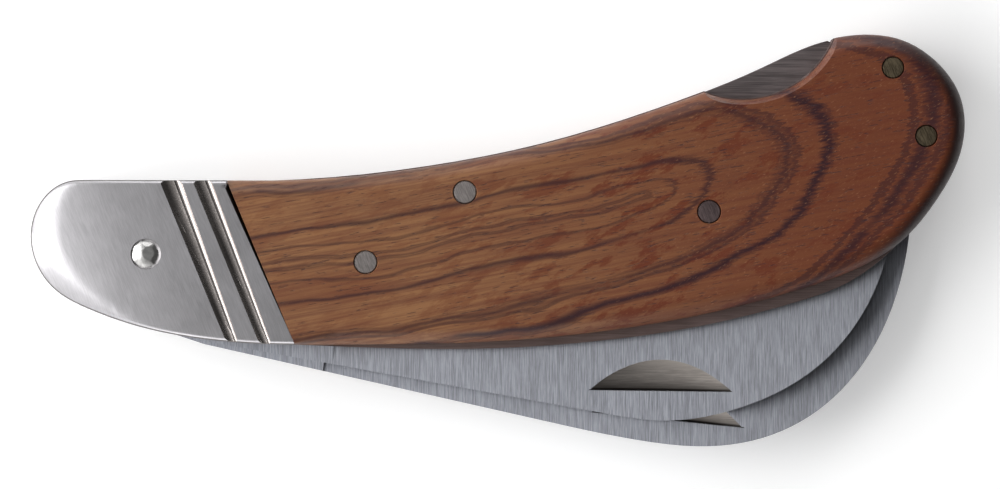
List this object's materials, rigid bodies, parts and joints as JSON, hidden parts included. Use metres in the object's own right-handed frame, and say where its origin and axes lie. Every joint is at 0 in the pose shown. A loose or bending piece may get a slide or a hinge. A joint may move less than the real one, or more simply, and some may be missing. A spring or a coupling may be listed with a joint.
{
  "type": "folding grafting knife",
  "caption": "Folding garden knife with a straight grafting blade and a hooked pruning blade on a shared pivot, locking bars along the back, steel bolsters and a curved wooden handle.",
  "frame": {"origin": "under the middle of the closed knife, on the surface that it lies on", "axes": "+X from the bolsters to the butt, +Y from the blades' spines to the handle's back, +Z from the rear scale to the front scale"},
  "size_m": [0.115, 0.0508, 0.0142],
  "materials": {
    "wood": "satin oiled rosewood with dark figure",
    "bolster_steel": "satin, polished at the rounded nose",
    "liner_steel": "dull, rolled",
    "blade_steel": "brushed across the blade",
    "lock_steel": "ground flat, dull",
    "spring_steel": "blue-grey, tempered",
    "rivet_steel": "peened by hammer",
    "pin_steel": "filed flush with the wood"
  },
  "bodies": {
    "handle": {"front_scale": "wood", "rear_scale": "wood", "front_bolster": "bolster_steel", "rear_bolster": "bolster_steel", "front_liner": "liner_steel", "rear_liner": "liner_steel", "divider_liner": "liner_steel", "pivot_rivet": "rivet_steel", "front_lock_spring": "spring_steel", "rear_lock_spring": "spring_steel", "front_butt_block": "lock_steel", "rear_butt_block": "lock_steel", "rocker_pin": "pin_steel", "middle_pin": "pin_steel", "fulcrum_pin": "pin_steel", "upper_butt_pin": "pin_steel", "lower_butt_pin": "pin_steel"},
    "grafting_blade_body": {"grafting_blade": "blade_steel"},
    "pruning_blade_body": {"pruning_blade": "blade_steel"},
    "front_lock": {"front_lock_bar": "lock_steel"},
    "rear_lock": {"rear_lock_bar": "lock_steel"}
  },
  "joints": [
    {"name": "grafting_blade_swing", "type": "hinge", "parent": "handle", "child": "grafting_blade_body", "pos_m": [-0.0432, -0.0016, 0.0085], "axis": [0, 0, -1], "range_deg": [0, 180]},
    {"name": "pruning_blade_swing", "type": "hinge", "parent": "handle", "child": "pruning_blade_body", "pos_m": [-0.0432, -0.0016, 0.0057], "axis": [0, 0, -1], "range_deg": [0, 180]},
    {"name": "front_lock_rock", "type": "hinge", "parent": "handle", "child": "front_lock", "pos_m": [-0.004, 0.006, 0.0085], "axis": [0, 0, -1], "range_deg": [-1.5, 0.5], "stiffness_Nm_per_rad": 0.5, "deforming": ["front_lock_spring"]},
    {"name": "rear_lock_rock", "type": "hinge", "parent": "handle", "child": "rear_lock", "pos_m": [-0.004, 0.006, 0.0057], "axis": [0, 0, -1], "range_deg": [-1.5, 0.5], "stiffness_Nm_per_rad": 0.5, "deforming": ["rear_lock_spring"]}
  ]
}
